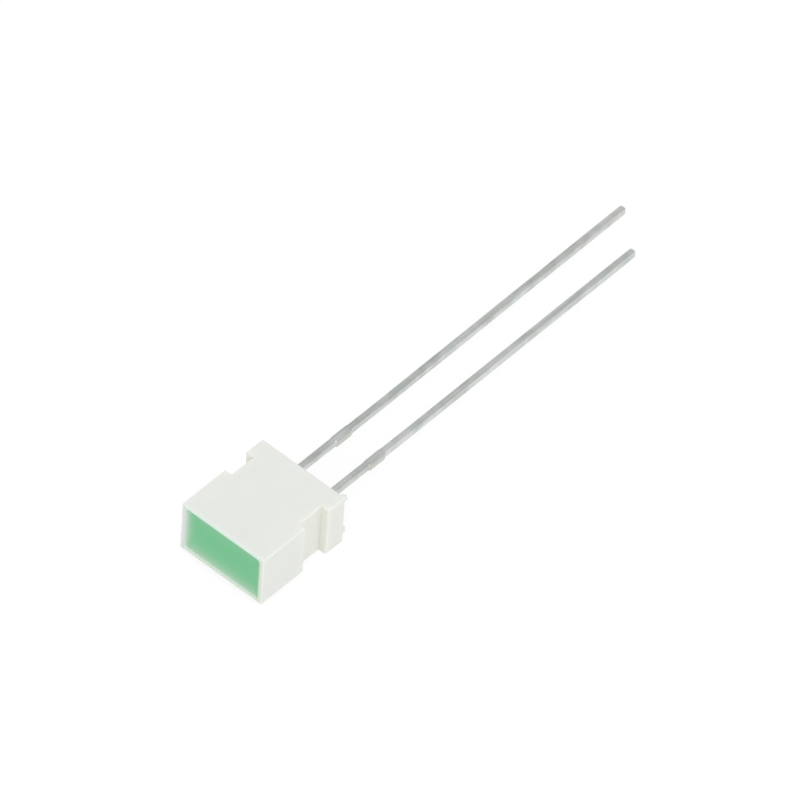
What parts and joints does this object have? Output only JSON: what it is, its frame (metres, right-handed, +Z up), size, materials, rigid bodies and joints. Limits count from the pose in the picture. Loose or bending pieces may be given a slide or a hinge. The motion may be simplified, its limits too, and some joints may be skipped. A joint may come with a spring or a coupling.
{
  "type": "through hole led",
  "caption": "Rectangular through hole LED lying on its side, with a white moulded housing, a green diffused window and straight tinned leads of unequal length.",
  "frame": {"origin": "middle of the housing's rear face, halfway between the two leads", "axes": "+Y along the leads away from the housing, -Y out of the window, +X towards the short cathode lead, +Z up, across the short side of the window"},
  "size_m": [0.0062, 0.0349, 0.0036],
  "materials": {
    "white_housing": "moulded white polycarbonate, satin",
    "green_epoxy": "cast green diffused epoxy, satin",
    "tinned_lead": "tin plated steel, dull bright",
    "green_chip": "sawn gallium phosphide",
    "silver_glue": "cured silver glue, matt",
    "gold_wire": "drawn gold"
  },
  "bodies": {
    "root": {"housing": "white_housing", "encapsulant": "green_epoxy", "cathode_lead": "tinned_lead", "anode_lead": "tinned_lead", "led_chip": "green_chip", "die_attach": "silver_glue", "bond_wire": "gold_wire"}
  },
  "joints": []
}
